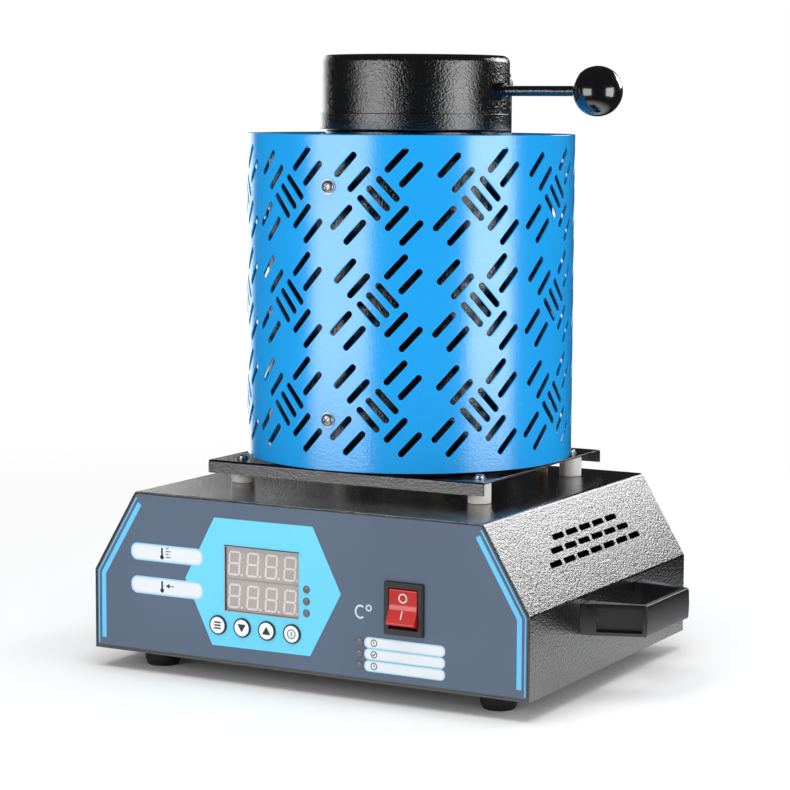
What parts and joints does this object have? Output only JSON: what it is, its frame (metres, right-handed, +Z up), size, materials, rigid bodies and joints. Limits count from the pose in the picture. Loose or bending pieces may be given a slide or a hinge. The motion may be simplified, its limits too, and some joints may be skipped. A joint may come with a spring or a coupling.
{
  "type": "electric melting furnace",
  "caption": "Bench melting furnace: slotted round drum on a raised plate over a sloping control base, hinged lid with ball-ended rod, side bow handles, rocker switch and display.",
  "frame": {"origin": "on the table, under the middle of the whole object's box", "axes": "+Z up, -Y towards the control panel's side, +X to the right when facing the panel"},
  "size_m": [0.369, 0.243, 0.375],
  "materials": {
    "black_hammered": "glossy hammered black powder coat",
    "black_panel": "satin black powder coat",
    "drum_blue": "glossy fine-textured blue powder coat",
    "overlay_blue": "satin slate-blue printed film",
    "black_plastic": "satin black moulded plastic",
    "knob_plastic": "polished black phenolic",
    "foot_rubber": "black rubber",
    "white_ceramic": "cream unglazed ceramic",
    "fibre": "soft ceramic fibre",
    "zinc_steel": "zinc-plated steel",
    "graphite": "satin dark grey graphite",
    "heating_wire": "oxidised resistance wire",
    "probe_steel": "stainless steel",
    "key_white": "satin white",
    "window_grey": "tinted display window",
    "digit_grey": "taupe display block",
    "lamp_lens": "grey lens, unlit",
    "rocker_red": "glossy translucent red",
    "board_green": "solder-masked board",
    "switch_black": "small black parts",
    "aluminium": "extruded aluminium",
    "wire_cover": "silicone wire insulation"
  },
  "bodies": {
    "base": {"base_shell": "black_hammered", "base_tray": "black_hammered", "casing_lid": "black_hammered", "chamber": "white_ceramic", "chamber_floor": "white_ceramic", "control_board": "board_green", "cover_screws": "zinc_steel", "cover_spacers": "zinc_steel", "cover_washers": "zinc_steel", "crucible": "graphite", "digit_modules": "digit_grey", "display_window": "window_grey", "drum_plate": "black_hammered", "drum_top": "drum_blue", "element_leads": "white_ceramic", "feet": "foot_rubber", "foot_screws": "zinc_steel", "front_overlay": "overlay_blue", "front_panel": "black_panel", "handle_left": "black_plastic", "handle_right": "black_plastic", "heat_sink": "aluminium", "heating_element": "heating_wire", "hinge_bracket": "black_hammered", "hinge_pin": "zinc_steel", "indicator_lamps": "lamp_lens", "inlet_pins": "zinc_steel", "inner_casing": "black_hammered", "insulation_base": "fibre", "insulation_sleeve": "fibre", "key_switches": "switch_black", "lead_bushes": "white_ceramic", "m3_screws": "zinc_steel", "m4_nuts": "zinc_steel", "m4_screws": "zinc_steel", "mouth_ring": "white_ceramic", "outer_cover": "drum_blue", "power_inlet": "black_plastic", "rear_panel": "black_panel", "relay": "black_plastic", "standoff_nuts": "zinc_steel", "standoff_screws": "zinc_steel", "standoff_washers": "zinc_steel", "standoffs": "white_ceramic", "switch_frame": "black_plastic", "terminal_block": "black_plastic", "thermocouple": "probe_steel", "wiring": "wire_cover"},
    "lid": {"lid_shell": "black_hammered", "lid_band": "black_hammered", "lid_insulation": "fibre", "lid_leaf": "black_hammered", "lid_rod": "black_hammered", "rod_nuts": "black_hammered", "ball_knob": "knob_plastic"},
    "rocker": {"switch_rocker": "rocker_red"},
    "menu_key": {"key_menu": "key_white"},
    "down_key": {"key_down": "key_white"},
    "up_key": {"key_up": "key_white"},
    "power_key": {"key_power": "key_white"}
  },
  "joints": [
    {"name": "lid_hinge", "type": "hinge", "parent": "base", "child": "lid", "pos_m": [0.003, 0.08753, 0.359], "axis": [-1, 0, 0], "range_deg": [0, 100]},
    {"name": "rocker_tilt", "type": "hinge", "parent": "base", "child": "rocker", "pos_m": [0.0682, -0.11227, 0.0575], "axis": [1, 0, 0], "range_deg": [0, 24]},
    {"name": "menu_key_press", "type": "slide", "parent": "base", "child": "menu_key", "axis": [0, 1, 0], "range_m": [0, 0.0005], "stiffness_N_per_m": 400},
    {"name": "down_key_press", "type": "slide", "parent": "base", "child": "down_key", "axis": [0, 1, 0], "range_m": [0, 0.0005], "stiffness_N_per_m": 400},
    {"name": "up_key_press", "type": "slide", "parent": "base", "child": "up_key", "axis": [0, 1, 0], "range_m": [0, 0.0005], "stiffness_N_per_m": 400},
    {"name": "power_key_press", "type": "slide", "parent": "base", "child": "power_key", "axis": [0, 1, 0], "range_m": [0, 0.0005], "stiffness_N_per_m": 400}
  ]
}
